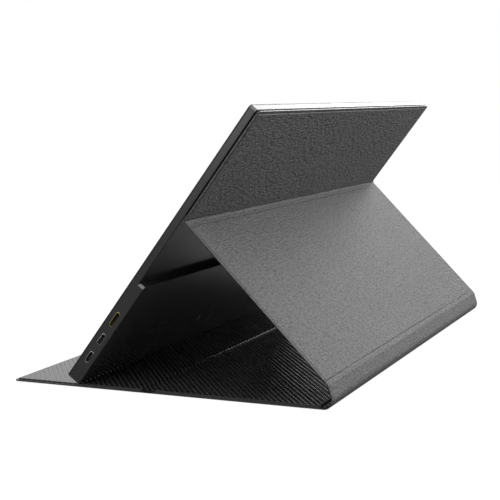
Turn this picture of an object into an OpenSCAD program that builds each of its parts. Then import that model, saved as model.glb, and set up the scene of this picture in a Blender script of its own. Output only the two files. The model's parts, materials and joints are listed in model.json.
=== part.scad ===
// Portable 15.6 inch class monitor standing on its folding cover. All sizes in millimetres.
// X runs along the width, Y backwards, Z up. The screen faces -Y.
// The sockets are on the +X side, the buttons and the headphone jack on the -X side.
// Cover panels are laid out on their outer face, with the thickness running inwards to the lining.

/* [Monitor] */
// width of the monitor housing
monitor_w = 356; // [320:1:400]
// height of the monitor housing along the screen
monitor_h = 220; // [205:1:245]
// thickness of the upper, thin part
thin_t = 5.5; // [5:0.1:7]
// thickness of the chin that holds the electronics
chin_t = 10; // [9:0.5:13]
// height of the chin
chin_h = 84; // [70:0.5:100]
// corner radius of the housing outline
outline_r = 1.5; // [1.5:0.5:6]
// radius of the chin's lower back edge
foot_r = 3; // [2:0.5:4]
// housing wall thickness
wall_t = 1.2; // [1:0.1:1.6]
// width of the frame beside the visible screen
side_border = 5.8; // [5:0.1:12]
// height of the frame above the visible screen
top_border = 7; // [6.5:0.5:14]
// lower edge of the visible screen above the housing's bottom edge
screen_y = 19; // [17:0.5:24]

/* [Ports] */
// height of the lower USB-C socket along the side
usb_lower_s = 21; // [16:0.5:24]
// height of the upper USB-C socket along the side
usb_upper_s = 36.5; // [32:0.5:40]
// height of the mini HDMI socket along the side
hdmi_s = 53.5; // [50:0.5:56]
// distance of the socket centres from the back of the chin
port_z = 4.5; // [4.5:0.1:5.3]
// radius of the headphone jack bore
jack_r = 1.8; // [1.76:0.01:1.85]

/* [Cover] */
// overhang of the cover beyond each side of the monitor
cover_over = 0.4; // [0.2:0.1:1.5]
// full thickness of a cover panel
cover_t = 2; // [1.8:0.1:2.4]
// width of the thin sealed border around each panel
border_w = 2.2; // [1.6:0.1:4]
// corner radius of the free ends of the cover
cover_r = 3; // [2:0.5:8]
// thickness of the adhesive that holds the upper panel to the monitor
tape_t = 0.2; // [0.1:0.05:0.4]
// distance of the crease from the monitor's bottom edge
crease_s = 138.4; // [120:0.2:160]
// length of the leg panel between its folds
leg_len = 131.5; // [124:0.5:142]
// straight length of the soft spine strip
spine_len = 7.8; // [7:0.1:11]
// length of the base lying flat on the table
base_len = 220; // [205:0.5:240]
// distance of the base groove's centre from the front tip
groove_d = 99.5; // [80:0.5:120]
// width of the base groove between the two stiffened panels
groove_w = 10; // [8:0.5:14]

/* [Pose] */
// lean of the monitor from the table
lean = 52.6; // [48:0.1:58]
// slope of the spine strip from the table
spine_slope = 72; // [64:0.5:80]
// clearance between the monitor's lower edge and the base lining
foot_gap = 0.3; // [0.2:0.05:0.5]

/* [Fold radii] */
// radius of the crease, measured to the middle of the leather
crease_bend_r = 3; // [2.4:0.1:4]
// outer radius of the fold between leg and spine
leg_bend_r = 3; // [2.4:0.1:4]
// outer radius of the roll between spine and base
spine_bend_r = 6.4; // [5:0.1:8]

/* [Hidden] */
$fn = 48;
eps = 0.02;

screen_w = monitor_w - 2 * side_border;
screen_h = monitor_h - screen_y - top_border;
cover_w = monitor_w + 2 * cover_over;

skin_lo = 0.2;
skin_t = 0.7;
rim_t = 1.2;
board_t = 0.7;
board_top = skin_t + board_t;
pocket_in = 0.5;
web = 1;

back_z = chin_t - thin_t;
upper_z = back_z - tape_t - cover_t;
crease_t = upper_z + skin_t - crease_bend_r;
crease_out = crease_bend_r - skin_t;

su = sin(lean);
cu = cos(lean);

foot_z = cover_t + foot_gap - foot_r * (su + cu - 1);
crease_dy = crease_s * cu - crease_t * su;
crease_z = foot_z + crease_s * su + crease_t * cu;

ss = sin(spine_slope);
cs = cos(spine_slope);
knee_z = spine_bend_r * (1 + cs) + spine_len * ss;
leg_drop = crease_z - knee_z;
leg_diag = sqrt(leg_len * leg_len + crease_out * crease_out);
leg_slope = asin(leg_drop / leg_diag) - atan(crease_out / leg_len);
sl = sin(leg_slope);
cl = cos(leg_slope);

knee_dy = crease_dy - crease_out * sl + leg_len * cl;
roll_dy = knee_dy + spine_len * cs - spine_bend_r * ss;
front_dy = roll_dy - base_len;
foot_y = -(front_dy + roll_dy + spine_bend_r - skin_lo) / 2;

crease_y = foot_y + crease_dy;
knee_y = foot_y + knee_dy;
roll_y = foot_y + roll_dy;
roll_z = spine_bend_r;
front_y = foot_y + front_dy;
groove_y = front_y + groove_d;
crease_turn = 180 - lean - leg_slope;
knee_turn = spine_slope - leg_slope;
knee_in = leg_bend_r * tan(knee_turn / 2);

board_len = 108;
board_x1 = monitor_w / 2 - 8;
board_x0 = board_x1 - board_len;
board_z = 1.8;
board_th = 1;
board_bottom = 8;
board_top_y = 64;
can_w = 36;
can_h = 30;
can_wall = 0.4;
side_x = monitor_w / 2;
cell_in = 3.5;
lip_z = chin_t - 0.5;
cell_z = lip_z - 0.9;
film_z = cell_z - 0.3;
guide_z = film_z - 0.6;
mirror_z = guide_z - 0.2;
tray_z = mirror_z - 0.3;
bezel_z = chin_t - 1;
inner_z = back_z + 0.8;
speaker_x = monitor_w / 2 - 52;
speaker_len = 44;
power_s = 64;
rocker_s = 44;
jack_s = 22;
jack_z = 4.8;
magnet_len = 20;
magnet_x = [for (f = [-2, -1, 1, 2]) f * monitor_w / 6];

// which sub-part to show

module at_monitor() {
  translate([0, foot_y, foot_z]) rotate([lean, 0, 0]) children();
}

module at_upper() {
  at_monitor() translate([0, crease_s, upper_z]) children();
}

module at_leg() {
  translate([0, knee_y, knee_z]) rotate([180 - leg_slope, 0, 0]) children();
}

module at_spine() {
  translate([0, roll_y + spine_bend_r * ss, roll_z + spine_bend_r * cs])
    rotate([180 - spine_slope, 0, 0]) children();
}

module plan(hw, y0, y1, r0, r1) {
  translate([-hw, y0 + r0]) square([2 * hw, y1 - y0 - r0 - r1]);
  if (r0 > 0) {
    translate([-hw + r0, y0]) square([2 * (hw - r0), r0 + eps]);
    for (s = [-1, 1]) translate([s * (hw - r0), y0 + r0]) circle(r = r0);
  }
  if (r1 > 0) {
    translate([-hw + r1, y1 - r1 - eps]) square([2 * (hw - r1), r1 + eps]);
    for (s = [-1, 1]) translate([s * (hw - r1), y1 - r1]) circle(r = r1);
  }
}

module slab(hw, y0, y1, r0, r1, z0, z1) {
  translate([0, 0, z0]) linear_extrude(height = z1 - z0) plan(hw, y0, y1, r0, r1);
}

function inner_r(r, b) = r > 0 ? max(r - b, 0.6) : 0;

module panel_skin(y0, y1, e0, e1, r0, r1) {
  slab(cover_w / 2, y0, y1, r0, r1, skin_lo, skin_t);
  slab(cover_w / 2 - border_w, y0 + e0, y1 - e1,
    inner_r(r0, border_w), inner_r(r1, border_w), 0, skin_t);
}

module panel_lining(y0, y1, e0, e1, r0, r1) {
  difference() {
    union() {
      slab(cover_w / 2, y0, y1, r0, r1, skin_t, rim_t);
      slab(cover_w / 2 - border_w, y0 + e0, y1 - e1,
        inner_r(r0, border_w), inner_r(r1, border_w), skin_t, cover_t);
    }
    translate([0, 0, skin_t - 1]) linear_extrude(height = board_t + 1) board_plan(y0, y1, e0, e1);
  }
}

module board_plan(y0, y1, e0, e1) {
  b = border_w + pocket_in;
  translate([-cover_w / 2 + b, y0 + e0 + pocket_in])
    square([cover_w - 2 * b, y1 - y0 - e0 - e1 - 2 * pocket_in]);
}

module panel_board(y0, y1, e0, e1) {
  translate([0, 0, skin_t]) linear_extrude(height = board_t) board_plan(y0, y1, e0, e1);
}

// bar of round or square section lying along X
module x_bar(x0, x1) {
  translate([x0, 0, 0]) rotate([90, 0, 90]) linear_extrude(height = x1 - x0) children();
}

module x_round(x0, x1, y, z, r) {
  translate([x0, y, z]) rotate([0, 90, 0]) cylinder(h = x1 - x0, r = r);
}

// bent leather between two panels: part of a tube about the fold's centre, with a short flat end each side
module bend(cy, cz, r_in, r_out, a0, a1) {
  hw = cover_w / 2;
  big = r_out * 3;
  over = 0.3;
  flap = [cover_w - 2 * eps, r_out - r_in - 2 * eps, web + over];
  translate([0, cy, cz]) {
    intersection() {
      difference() {
        x_round(-hw, hw, 0, 0, r_out);
        x_round(-hw - 1, hw + 1, 0, 0, r_in);
      }
      x_bar(-hw - 1, hw + 1) polygon([
        [0, 0],
        [big * cos(a0), big * sin(a0)],
        [big * cos((a0 * 2 + a1) / 3), big * sin((a0 * 2 + a1) / 3)],
        [big * cos((a0 + a1 * 2) / 3), big * sin((a0 + a1 * 2) / 3)],
        [big * cos(a1), big * sin(a1)]
      ]);
    }
    rotate([a0, 0, 0]) translate([-hw + eps, r_in + eps, -web]) cube(flap);
    rotate([a1, 0, 0]) translate([-hw + eps, r_in + eps, -over]) cube(flap);
  }
}

module web_strip(y0, y1) {
  slab(cover_w / 2, y0, y1, 0, 0, skin_lo, rim_t);
}

module stadium(len, wid) {
  r = wid / 2;
  translate([-(len / 2 - r), -r]) square([len - wid, wid]);
  for (s = [-1, 1]) translate([s * (len / 2 - r), 0]) circle(r = r);
}

// stadium prism along X, long side along the monitor's height
module side_stadium(x0, x1, s, z, len, wid) {
  translate([x0, s, z]) rotate([90, 0, 90]) linear_extrude(height = x1 - x0) stadium(len, wid);
}

module chin_profile() {
  translate([foot_r, 0]) square([chin_h - foot_r, bezel_z]);
  translate([0, foot_r]) square([chin_h, bezel_z - foot_r]);
  translate([foot_r, foot_r]) circle(r = foot_r);
}

module shell_outer() {
  slab(side_x, 0, monitor_h, outline_r, outline_r, back_z, bezel_z);
  intersection() {
    slab(side_x, 0, chin_h, outline_r, outline_r, 0, bezel_z);
    x_bar(-side_x - 1, side_x + 1) chin_profile();
  }
}

module boss_spots() {
  for (x = [board_x0 + 5, board_x1 - 5 - 8]) for (y = [board_bottom + 5, board_top_y - 5])
    translate([x, y, 0]) children();
}

module back_shell() {
  color([0.22, 0.22, 0.23]) at_monitor() {
    difference() {
      shell_outer();
      slab(side_x - wall_t, wall_t, monitor_h - wall_t, outline_r - wall_t, outline_r - wall_t,
        inner_z, bezel_z + 1);
      slab(side_x - wall_t, wall_t + 0.6, chin_h - wall_t, 0, 0, wall_t, bezel_z + 1);
      side_stadium(side_x - wall_t - 1, side_x + 1, usb_lower_s, port_z, 9.4, 3.5);
      side_stadium(side_x - wall_t - 1, side_x + 1, usb_upper_s, port_z, 9.4, 3.5);
      side_stadium(side_x - wall_t - 1, side_x + 1, hdmi_s, port_z, 11.7, 3.5);
      side_stadium(-side_x - 1, -side_x + wall_t + 1, power_s, port_z, 8.4, 3.4);
      side_stadium(-side_x - 1, -side_x + wall_t + 1, rocker_s, port_z, 12.6, 3.4);
      x_round(-side_x - 1, -side_x + wall_t + 1, jack_s, jack_z, 2.6);
      for (s = [-1, 1]) translate([s * speaker_x, chin_h + 1, 2.5]) rotate([90, 0, 0])
        linear_extrude(height = wall_t + 2) stadium(12.7, 2.2);
    }
    boss_spots() difference() {
      translate([0, 0, wall_t - 0.1]) cylinder(h = board_z - wall_t + 0.1, r = 2.2);
      translate([0, 0, wall_t]) cylinder(h = 3, r = 0.8);
    }
  }
}

module screen_bezel() {
  color([0.04, 0.04, 0.045]) at_monitor() difference() {
    slab(side_x, 0, monitor_h, outline_r, outline_r, bezel_z, chin_t);
    slab(screen_w / 2, screen_y, screen_y + screen_h, 0, 0, bezel_z - 1, chin_t + 1);
    slab(side_x - cell_in + 0.5, screen_y - 4, monitor_h - top_border + 3, 0, 0, bezel_z - 1, lip_z);
  }
}

module lcd_cell() {
  color([0.03, 0.03, 0.04]) at_monitor()
    slab(side_x - cell_in, screen_y - 3.5, monitor_h - top_border + 2.5, 0, 0, cell_z, lip_z);
}

module diffuser_films() {
  color([0.92, 0.92, 0.9]) at_monitor()
    slab(side_x - cell_in - 1, screen_y - 2.5, monitor_h - top_border + 1.5, 0, 0, film_z, cell_z);
}

module light_guide() {
  color([0.85, 0.9, 0.92]) at_monitor()
    slab(side_x - cell_in - 1.5, screen_y - 2.4, monitor_h - top_border + 1, 0, 0, guide_z, film_z);
}

module reflector_sheet() {
  color([0.95, 0.95, 0.95]) at_monitor()
    slab(side_x - cell_in - 1, screen_y - 2.5, monitor_h - top_border + 1.5, 0, 0, mirror_z, guide_z);
}

module panel_tray() {
  color([0.62, 0.63, 0.64]) at_monitor()
    slab(side_x - cell_in, screen_y - 6, monitor_h - top_border + 2.5, 0, 0, tray_z, mirror_z);
}

module led_bar() {
  color([0.95, 0.9, 0.6]) at_monitor()
    slab(side_x - cell_in - 2.5, screen_y - 5.4, screen_y - 2.6, 0, 0, guide_z, film_z);
}

module panel_foam() {
  color([0.12, 0.12, 0.12]) at_monitor() {
    for (y = [chin_h + 6, (chin_h + monitor_h) / 2 - 4, monitor_h - 16])
      slab(side_x - 12, y, y + 8, 0, 0, inner_z, tray_z);
  }
}

module driver_board() {
  color([0.05, 0.22, 0.12]) at_monitor()
    slab(side_x - 28, screen_y - 15.5, screen_y - 7.5, 0, 0, tray_z - 0.6, tray_z + 0.2);
}

module main_board() {
  color([0.05, 0.25, 0.14]) at_monitor() difference() {
    translate([board_x0, board_bottom, board_z])
      cube([board_x1 - board_x0, board_top_y - board_bottom, board_th]);
    boss_spots() translate([0, 0, board_z - 1]) cylinder(h = board_th + 2, r = 1.1);
  }
}

module scaler_chip() {
  color([0.06, 0.06, 0.07]) at_monitor()
    translate([board_x0 + 22, board_bottom + 12, board_z + board_th]) cube([16, 16, 1.2]);
}

module shield_can() {
  color([0.7, 0.71, 0.72]) at_monitor() difference() {
    translate([board_x0 + 46, board_bottom + 8, board_z + board_th]) cube([can_w, can_h, 2]);
    translate([board_x0 + 46 + can_wall, board_bottom + 8 + can_wall, board_z + board_th - 1])
      cube([can_w - 2 * can_wall, can_h - 2 * can_wall, 2.6]);
  }
}

module board_screws() {
  color([0.55, 0.55, 0.56]) at_monitor() boss_spots() {
    translate([0, 0, board_z + board_th]) difference() {
      cylinder(h = 0.9, r = 1.9);
      for (a = [0, 90]) rotate([0, 0, a]) translate([-1.2, -0.2, 0.4]) cube([2.4, 0.4, 1]);
    }
    translate([0, 0, wall_t + 0.1]) cylinder(h = board_z + board_th - wall_t, r = 0.74);
  }
}

module usb_shell(s) {
  at_monitor() {
    difference() {
      side_stadium(side_x - 9, side_x, s, port_z, 9.1, 3.2);
      side_stadium(side_x - 8, side_x + 1, s, port_z, 8.3, 2.5);
    }
    translate([side_x - 16, s - 4, board_z + board_th]) cube([7.5, 8, port_z + 1.4 - board_z - board_th]);
  }
}

module usb_c_lower() {
  color([0.78, 0.79, 0.8]) usb_shell(usb_lower_s);
}

module usb_c_upper() {
  color([0.78, 0.79, 0.8]) usb_shell(usb_upper_s);
}

module usb_tongue(s) {
  at_monitor() translate([side_x - 8, s - 3.3, port_z - 0.35]) cube([7, 6.6, 0.7]);
}

module usb_c_lower_tongue() {
  color([0.05, 0.05, 0.05]) usb_tongue(usb_lower_s);
}

module usb_c_upper_tongue() {
  color([0.05, 0.05, 0.05]) usb_tongue(usb_upper_s);
}

module mini_hdmi() {
  color([0.85, 0.66, 0.35]) at_monitor() {
    difference() {
      side_stadium(side_x - 9, side_x, hdmi_s, port_z, 11.4, 3.2);
      side_stadium(side_x - 8, side_x + 1, hdmi_s, port_z, 10.7, 2.5);
    }
    translate([side_x - 16, hdmi_s - 5, board_z + board_th])
      cube([7.5, 10, port_z + 1.4 - board_z - board_th]);
  }
}

module mini_hdmi_tongue() {
  color([0.05, 0.05, 0.05]) at_monitor()
    translate([side_x - 8, hdmi_s - 4.2, port_z - 0.4]) cube([7, 8.4, 0.8]);
}

module speaker(s) {
  at_monitor() difference() {
    translate([s * speaker_x - speaker_len / 2, chin_h - wall_t - 14, wall_t])
      cube([speaker_len, 13.8, 4.4]);
    translate([s * speaker_x - 5.5, chin_h - wall_t - 1.2, 1.8]) cube([11, 2, 1.4]);
  }
}

module speaker_right() {
  color([0.08, 0.08, 0.08]) speaker(1);
}

module speaker_left() {
  color([0.08, 0.08, 0.08]) speaker(-1);
}

module speaker_wires() {
  color([0.6, 0.1, 0.1]) at_monitor() {
    for (d = [0, 1.1]) {
      x_round(speaker_len / 2 - speaker_x, speaker_x - speaker_len / 2, board_top_y + 6 + d,
        board_z, 0.45);
    }
  }
}

module display_ribbon() {
  color([0.75, 0.5, 0.2]) at_monitor()
    translate([board_x0 + 22, board_bottom + 1, board_z + board_th])
      cube([20, 0.3, tray_z - 0.6 - board_z - board_th]);
}

module button_ribbon() {
  color([0.75, 0.5, 0.2]) at_monitor()
    translate([-side_x + 4.4, rocker_s, board_z + board_th]) cube([board_x0 + side_x, 5, 0.2]);
}

module button_board() {
  color([0.05, 0.25, 0.14]) at_monitor()
    translate([-side_x + 3.4, rocker_s - 7, 2.2]) cube([1, power_s - rocker_s + 13, 4.8]);
}

module tact_switches() {
  color([0.3, 0.3, 0.31]) at_monitor()
    for (s = [rocker_s - 4, rocker_s + 4, power_s])
      translate([-side_x + 2.15, s - 1.4, port_z - 1.4]) cube([1.25, 2.8, 2.8]);
}

module rocker_bracket() {
  color([0.1, 0.1, 0.1]) at_monitor() for (s = [-1, 1]) difference() {
    translate([-side_x + 1.25, rocker_s - 1, port_z - 0.3 + s * 2.05]) cube([2.15, 2, 0.6]);
    translate([-side_x + 1.9, rocker_s, port_z - 1 + s * 2.05]) cylinder(h = 2, r = 0.55);
  }
}

module power_button() {
  color([0.16, 0.16, 0.17]) at_monitor() {
    side_stadium(-side_x - 0.4, -side_x + 1.4, power_s, port_z, 8, 3);
    side_stadium(-side_x + 1.4, -side_x + 1.8, power_s, port_z, 9.6, 4.6);
  }
}

module menu_rocker() {
  color([0.16, 0.16, 0.17]) at_monitor() {
    side_stadium(-side_x - 0.4, -side_x + 1.5, rocker_s, port_z, 12, 3);
    translate([-side_x + 1.9, rocker_s, port_z - 2.35]) cylinder(h = 4.7, r = 0.5);
    translate([-side_x + 1.9, rocker_s, port_z - 1.5]) cylinder(h = 3, r = 0.7);
  }
}

module jack_board() {
  color([0.05, 0.25, 0.14]) at_monitor()
    translate([-side_x + 1.4, jack_s - 6, wall_t]) cube([16, 12, 1.2]);
}

module audio_jack() {
  color([0.06, 0.06, 0.065]) at_monitor() difference() {
    union() {
      translate([-side_x + wall_t, jack_s - 3, wall_t + 1.2]) cube([12.8, 6, 4.6]);
      x_round(-side_x, -side_x + wall_t + 0.1, jack_s, jack_z, 2.5);
    }
    x_round(-side_x - 1, -side_x + 13, jack_s, jack_z, jack_r);
  }
}

module bezel_magnets() {
  color([0.6, 0.6, 0.62]) at_monitor() for (x = magnet_x)
    translate([x - magnet_len / 2, monitor_h - 4.2, inner_z]) cube([magnet_len, 2.6, 2.4]);
}

module cover_tape() {
  color([0.2, 0.2, 0.2]) at_monitor() for (y = [crease_s + 10, monitor_h - 32])
    slab(cover_w / 2 - 14, y, y + 22, 0, 0, back_z - tape_t, back_z);
}

module upper_skin() {
  color([0.2, 0.2, 0.2]) at_upper()
    panel_skin(web, monitor_h - crease_s, 1.4, border_w, 0, cover_r);
}

module upper_board() {
  color([0.45, 0.4, 0.33]) at_upper() panel_board(web, monitor_h - crease_s, 1.4, border_w);
}

module upper_lining() {
  color([0.12, 0.12, 0.12]) at_upper()
    panel_lining(web, monitor_h - crease_s, 1.4, border_w, 0, cover_r);
}

module crease_leather() {
  color([0.2, 0.2, 0.2])
    bend(crease_y, crease_z, crease_out + skin_lo, crease_out + rim_t, 90 + lean, 270 - leg_slope);
}

module leg_skin() {
  color([0.24, 0.24, 0.24]) at_leg()
    panel_skin(knee_in + web, leg_len - web - eps, 1.6, 1.6, 0, 0);
}

module leg_board() {
  color([0.45, 0.4, 0.33]) at_leg() panel_board(knee_in + web, leg_len - web - eps, 1.6, 1.6);
}

module leg_lining() {
  color([0.12, 0.12, 0.12]) at_leg()
    panel_lining(knee_in + web, leg_len - web - eps, 1.6, 1.6, 0, 0);
}

module knee_leather() {
  ky = knee_y - leg_bend_r * sl + knee_in * -cl;
  kz = knee_z - leg_bend_r * cl + knee_in * sl;
  color([0.24, 0.24, 0.24])
    bend(ky, kz, leg_bend_r - rim_t, leg_bend_r - skin_lo, 90 - spine_slope, 90 - leg_slope);
}

module spine_skin() {
  color([0.24, 0.24, 0.24]) at_spine()
    slab(cover_w / 2, web, spine_len - knee_in - web - eps, 0, 0, skin_lo, skin_t);
}

module spine_strip() {
  color([0.45, 0.4, 0.33]) at_spine()
    slab(cover_w / 2 - 4, web + 0.5, spine_len - knee_in - web - 0.5, 0, 0, skin_t, skin_t + 0.4);
}

module spine_lining() {
  color([0.12, 0.12, 0.12]) at_spine() difference() {
    slab(cover_w / 2, web, spine_len - knee_in - web - eps, 0, 0, skin_t, rim_t + 0.3);
    slab(cover_w / 2 - 4, web + 0.5, spine_len - knee_in - web - 0.5, 0, 0, skin_t - 1, skin_t + 0.4);
  }
}

module roll_leather() {
  color([0.24, 0.24, 0.24])
    bend(roll_y, roll_z, spine_bend_r - rim_t, spine_bend_r - skin_lo, -90, 90 - spine_slope);
}

module base_rear_skin() {
  color([0.18, 0.18, 0.18]) panel_skin(groove_y + 4, roll_y - web - eps, groove_w / 2 - 4, 2, 0, 0);
}

module base_rear_board() {
  color([0.45, 0.4, 0.33]) panel_board(groove_y + 4, roll_y - web - eps, groove_w / 2 - 4, 2);
}

module base_rear_lining() {
  color([0.1, 0.1, 0.1]) panel_lining(groove_y + 4, roll_y - web - eps, groove_w / 2 - 4, 2, 0, 0);
}

module groove_leather() {
  color([0.14, 0.14, 0.14]) {
    web_strip(groove_y - 4, groove_y + 4);
    x_round(-cover_w / 2, cover_w / 2, groove_y, skin_t, 0.6);
  }
}

module base_front_skin() {
  color([0.18, 0.18, 0.18]) panel_skin(front_y, groove_y - 4 - eps, border_w, groove_w / 2 - 4, cover_r, 0);
}

module magnet_plan() {
  for (x = magnet_x) translate([x - magnet_len / 2, front_y + 6]) square([magnet_len, 8]);
}

module base_front_board() {
  color([0.45, 0.4, 0.33]) difference() {
    panel_board(front_y, groove_y - 4 - eps, border_w, groove_w / 2 - 4);
    translate([0, 0, skin_t - 1]) linear_extrude(height = board_t + 2) magnet_plan();
  }
}

module base_front_lining() {
  color([0.1, 0.1, 0.1])
    panel_lining(front_y, groove_y - 4 - eps, border_w, groove_w / 2 - 4, cover_r, 0);
}

module base_magnets() {
  color([0.6, 0.6, 0.62]) translate([0, 0, skin_t]) linear_extrude(height = board_t) magnet_plan();
}

back_shell();
screen_bezel();
lcd_cell();
diffuser_films();
light_guide();
reflector_sheet();
panel_tray();
led_bar();
panel_foam();
driver_board();
main_board();
scaler_chip();
shield_can();
board_screws();
usb_c_lower();
usb_c_upper();
mini_hdmi();
usb_c_lower_tongue();
usb_c_upper_tongue();
mini_hdmi_tongue();
speaker_right();
speaker_left();
speaker_wires();
display_ribbon();
button_ribbon();
button_board();
tact_switches();
rocker_bracket();
power_button();
menu_rocker();
jack_board();
audio_jack();
bezel_magnets();
cover_tape();
upper_skin();
upper_board();
upper_lining();
crease_leather();
leg_skin();
leg_board();
leg_lining();
knee_leather();
spine_skin();
spine_strip();
spine_lining();
roll_leather();
base_rear_skin();
base_rear_board();
base_rear_lining();
groove_leather();
base_front_skin();
base_front_board();
base_front_lining();
base_magnets();
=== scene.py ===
import bpy
import bmesh
import json
import math
from mathutils import Matrix, Vector, noise


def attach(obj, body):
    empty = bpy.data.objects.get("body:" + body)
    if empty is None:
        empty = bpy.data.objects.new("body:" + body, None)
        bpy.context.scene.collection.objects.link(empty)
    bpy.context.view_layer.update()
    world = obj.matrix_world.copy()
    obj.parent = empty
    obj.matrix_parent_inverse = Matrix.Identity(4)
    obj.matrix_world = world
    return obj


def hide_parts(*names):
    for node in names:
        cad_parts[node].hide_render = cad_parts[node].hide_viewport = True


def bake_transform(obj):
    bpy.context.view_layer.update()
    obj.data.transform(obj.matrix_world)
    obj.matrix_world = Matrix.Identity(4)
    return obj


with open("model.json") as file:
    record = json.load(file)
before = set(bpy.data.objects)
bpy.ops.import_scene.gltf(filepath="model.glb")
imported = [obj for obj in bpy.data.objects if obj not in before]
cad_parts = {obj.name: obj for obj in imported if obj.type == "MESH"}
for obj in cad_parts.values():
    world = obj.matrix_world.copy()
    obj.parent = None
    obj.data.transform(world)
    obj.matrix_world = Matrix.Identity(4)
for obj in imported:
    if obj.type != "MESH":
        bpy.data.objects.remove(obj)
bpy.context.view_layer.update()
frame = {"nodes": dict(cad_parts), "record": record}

# Sizes of the part in millimetres, as in the CAD source.
MONITOR_W = 356.0
MONITOR_H = 220.0
THIN_T = 5.5
CHIN_T = 10.0
CHIN_H = 84.0
OUTLINE_R = 1.5
FOOT_R = 3.0
FOOT_SHOWN = 2.05
WALL_T = 1.2
SCREEN_Y = 19.0
SIDE_BORDER = 5.8
TOP_BORDER = 7.0
USB_LOWER_S = 21.0
USB_UPPER_S = 36.5
HDMI_S = 53.5
PORT_Z = 4.5
POWER_S = 64.0
ROCKER_S = 44.0
JACK_S = 22.0
JACK_Z = 4.8
JACK_R = 1.8
SPEAKER_X = 126.0
SPEAKER_SLOT = (12.7, 2.2)
SPEAKER_SLOT_Z = 2.5
COVER_OVER = 0.4
COVER_T = 2.0
BORDER_W = 2.2
COVER_R = 3.0
TAPE_T = 0.2
CREASE_S = 138.4
LEG_LEN = 131.5
SPINE_LEN = 7.8
BASE_LEN = 220.0
GROOVE_D = 99.5
GROOVE_W = 10.0
LEAN = math.radians(52.6)
SPINE_SLOPE = math.radians(72.0)
FOOT_GAP = 0.3
CREASE_BEND_R = 3.0
LEG_BEND_R = 3.0
SPINE_BEND_R = 6.4

SKIN_LO = 0.2
SKIN_T = 0.7
RIM_T = 1.2
WEB = 1.0
SIDE_X = MONITOR_W / 2
COVER_W = MONITOR_W + 2 * COVER_OVER
HALF_W = COVER_W / 2
BACK_Z = CHIN_T - THIN_T
BEZEL_Z = CHIN_T - 1
INNER_Z = BACK_Z + 0.8
UPPER_Z = BACK_Z - TAPE_T - COVER_T
CREASE_T = UPPER_Z + SKIN_T - CREASE_BEND_R
CREASE_OUT = CREASE_BEND_R - SKIN_T
SCREEN_W = MONITOR_W - 2 * SIDE_BORDER
SCREEN_H = MONITOR_H - SCREEN_Y - TOP_BORDER

SU = math.sin(LEAN)
CU = math.cos(LEAN)
FOOT_Z = COVER_T + FOOT_GAP - FOOT_R * (SU + CU - 1)
CREASE_DY = CREASE_S * CU - CREASE_T * SU
CREASE_Z = FOOT_Z + CREASE_S * SU + CREASE_T * CU
SS = math.sin(SPINE_SLOPE)
CS = math.cos(SPINE_SLOPE)
KNEE_Z = SPINE_BEND_R * (1 + CS) + SPINE_LEN * SS
LEG_SLOPE = (math.asin((CREASE_Z - KNEE_Z) / math.hypot(LEG_LEN, CREASE_OUT))
             - math.atan(CREASE_OUT / LEG_LEN))
SL = math.sin(LEG_SLOPE)
CL = math.cos(LEG_SLOPE)
KNEE_DY = CREASE_DY - CREASE_OUT * SL + LEG_LEN * CL
ROLL_DY = KNEE_DY + SPINE_LEN * CS - SPINE_BEND_R * SS
FOOT_Y = -(2 * ROLL_DY - BASE_LEN + SPINE_BEND_R - SKIN_LO) / 2
CREASE_Y = FOOT_Y + CREASE_DY
KNEE_Y = FOOT_Y + KNEE_DY
ROLL_Y = FOOT_Y + ROLL_DY
FRONT_Y = ROLL_Y - BASE_LEN
KNEE_IN = LEG_BEND_R * math.tan((SPINE_SLOPE - LEG_SLOPE) / 2)
KNEE_CY = KNEE_Y - LEG_BEND_R * SL - KNEE_IN * CL
KNEE_CZ = KNEE_Z - LEG_BEND_R * CL + KNEE_IN * SL

# Lengths along the unfolded cover, from the front tip of the base.
ROLL_A = math.pi / 2 + (math.pi / 2 - SPINE_SLOPE)
KNEE_A = SPINE_SLOPE - LEG_SLOPE
CREASE_A = math.pi - LEAN - LEG_SLOPE
ROLL_V = BASE_LEN
SPINE_V = ROLL_V + ROLL_A * (SPINE_BEND_R - SKIN_T)
KNEE_V = SPINE_V + SPINE_LEN - KNEE_IN
LEG_V = KNEE_V + KNEE_A * (LEG_BEND_R - SKIN_T)
CREASE_V = LEG_V + LEG_LEN - KNEE_IN
UPPER_V = CREASE_V + CREASE_A * (CREASE_OUT + SKIN_T)

# Ribs of the lining: direction, pitch, height, and the place within the pitch of the wall painted paler
# as a painted highlight.
RIB_ANGLE = math.radians(38.4)
RIB_PITCH = 3.1
RIB_RAISE = 0.3
RIB_LIT_WALL = 2.74

# Finer shapes of the housing: seam to the front frame, edge rounds, facets of the foot in degrees,
# and the mouths on the hidden side.
SEAM = 0.12
PLATE_EDGE = 0.55
CHIN_EDGE = 0.4
FOOT_FACETS = (0, 12, 24, 36, 70, 80, 90)
SOCKET_GAP = 0.06
USB_OUTER = (9.0, 3.1)
USB_INNER = (8.4, 2.5)
HDMI_OUTER = (11.4, 3.1)
HDMI_INNER = (10.8, 2.5)
POWER_MOUTH = (8.3, 3.3)
ROCKER_MOUTH = (12.4, 3.3)
JACK_MOUTH_R = 2.55

# Ribs and leather edges.
PAD_BEVEL = 0.16
GROOVE_HALF = 4.0
EDGE_IN = 0.26
SKIN_EDGE = ((0.0, SKIN_T), (0.0, 0.42), (0.04, 0.3), (0.12, 0.23), (EDGE_IN, SKIN_LO))


def on_monitor(x, s, t):
    return (x, FOOT_Y + s * CU - t * SU, FOOT_Z + s * SU + t * CU)


def on_turned(y0, z0, slope):
    """Places (x, y, z) of a panel whose own y runs up a slope and whose z points under it."""
    c = math.cos(slope)
    s = math.sin(slope)

    def place(x, y, z):
        return (x, y0 - y * c - z * s, z0 + y * s - z * c)

    return place


on_leg = on_turned(KNEE_Y, KNEE_Z, LEG_SLOPE)
on_spine = on_turned(ROLL_Y + SPINE_BEND_R * SS, SPINE_BEND_R * (1 + CS), SPINE_SLOPE)


def on_base(x, v, z):
    return (x, FRONT_Y + v, z)


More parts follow.
